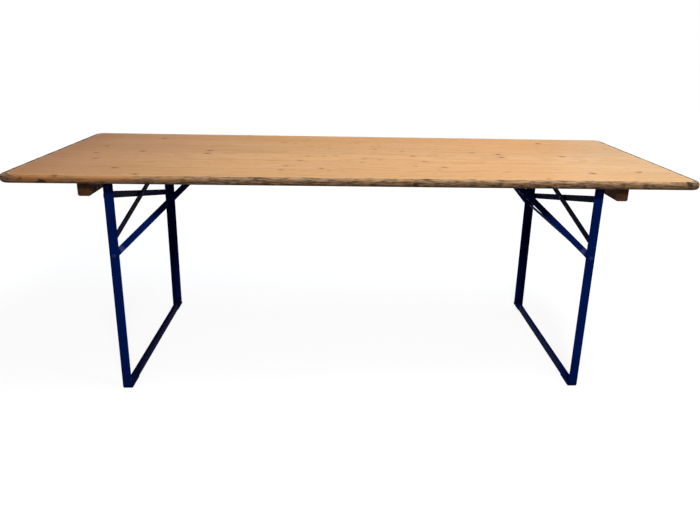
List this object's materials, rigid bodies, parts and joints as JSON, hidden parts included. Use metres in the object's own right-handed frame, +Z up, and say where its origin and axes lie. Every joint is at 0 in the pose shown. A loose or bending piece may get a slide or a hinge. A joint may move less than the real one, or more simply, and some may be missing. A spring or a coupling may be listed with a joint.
{
  "type": "folding trestle table",
  "caption": "Long folding table: glued softwood top with rounded corners on steel angle leg frames that fold in under it, held open by hinged struts.",
  "frame": {"origin": "on the floor, under the middle of the top", "axes": "+X along the top, +Y to the rear long edge, +Z up"},
  "size_m": [2.2, 0.7, 0.78],
  "materials": {
    "top_wood": "orange-tan clear lacquer on softwood, worn",
    "batten_wood": "darker brown stained softwood",
    "blue_paint": "dark royal blue enamel on steel, chipped",
    "spring_steel": "dull spring steel",
    "screw_steel": "zinc-plated"
  },
  "bodies": {
    "tabletop": {"top_board_1": "top_wood", "top_board_2": "top_wood", "top_board_3": "top_wood", "top_board_4": "top_wood", "top_board_5": "top_wood", "top_board_6": "top_wood", "left_batten": "batten_wood", "right_batten": "batten_wood", "batten_screws": "screw_steel", "left_front_hinge_plate": "blue_paint", "left_rear_hinge_plate": "blue_paint", "right_front_hinge_plate": "blue_paint", "right_rear_hinge_plate": "blue_paint", "hinge_screws": "screw_steel", "left_catch": "spring_steel", "right_catch": "spring_steel", "catch_screws": "screw_steel"},
    "left_leg_frame": {"left_front_leg": "blue_paint", "left_rear_leg": "blue_paint", "left_bottom_rail": "blue_paint", "left_front_foot": "blue_paint", "left_rear_foot": "blue_paint", "left_outer_brace": "blue_paint", "left_inner_brace": "blue_paint", "left_brace_rivets": "blue_paint", "left_strut_rod": "blue_paint", "left_hinge_rivets": "blue_paint"},
    "left_strut": {"left_front_arm": "blue_paint", "left_rear_arm": "blue_paint", "left_arm_rivets": "blue_paint", "left_catch_pin": "blue_paint"},
    "right_leg_frame": {"right_front_leg": "blue_paint", "right_rear_leg": "blue_paint", "right_bottom_rail": "blue_paint", "right_front_foot": "blue_paint", "right_rear_foot": "blue_paint", "right_outer_brace": "blue_paint", "right_inner_brace": "blue_paint", "right_brace_rivets": "blue_paint", "right_strut_rod": "blue_paint", "right_hinge_rivets": "blue_paint"},
    "right_strut": {"right_front_arm": "blue_paint", "right_rear_arm": "blue_paint", "right_arm_rivets": "blue_paint", "right_catch_pin": "blue_paint"}
  },
  "joints": [
    {"name": "left_leg_fold", "type": "hinge", "parent": "tabletop", "child": "left_leg_frame", "pos_m": [-0.79, 0, 0.729], "axis": [0, -1, 0], "range_deg": [0, 90]},
    {"name": "left_strut_swing", "type": "hinge", "parent": "left_leg_frame", "child": "left_strut", "pos_m": [-0.79, 0, 0.4972], "axis": [0, -1, 0], "range_deg": [-135, 0]},
    {"name": "right_leg_fold", "type": "hinge", "parent": "tabletop", "child": "right_leg_frame", "pos_m": [0.79, 0, 0.729], "axis": [0, 1, 0], "range_deg": [0, 90]},
    {"name": "right_strut_swing", "type": "hinge", "parent": "right_leg_frame", "child": "right_strut", "pos_m": [0.79, 0, 0.4972], "axis": [0, 1, 0], "range_deg": [-135, 0]}
  ],
  "couplings": [
    {"joint": "left_strut_swing", "follows": "left_leg_fold", "ratio": -1.5},
    {"joint": "right_strut_swing", "follows": "right_leg_fold", "ratio": -1.5}
  ]
}
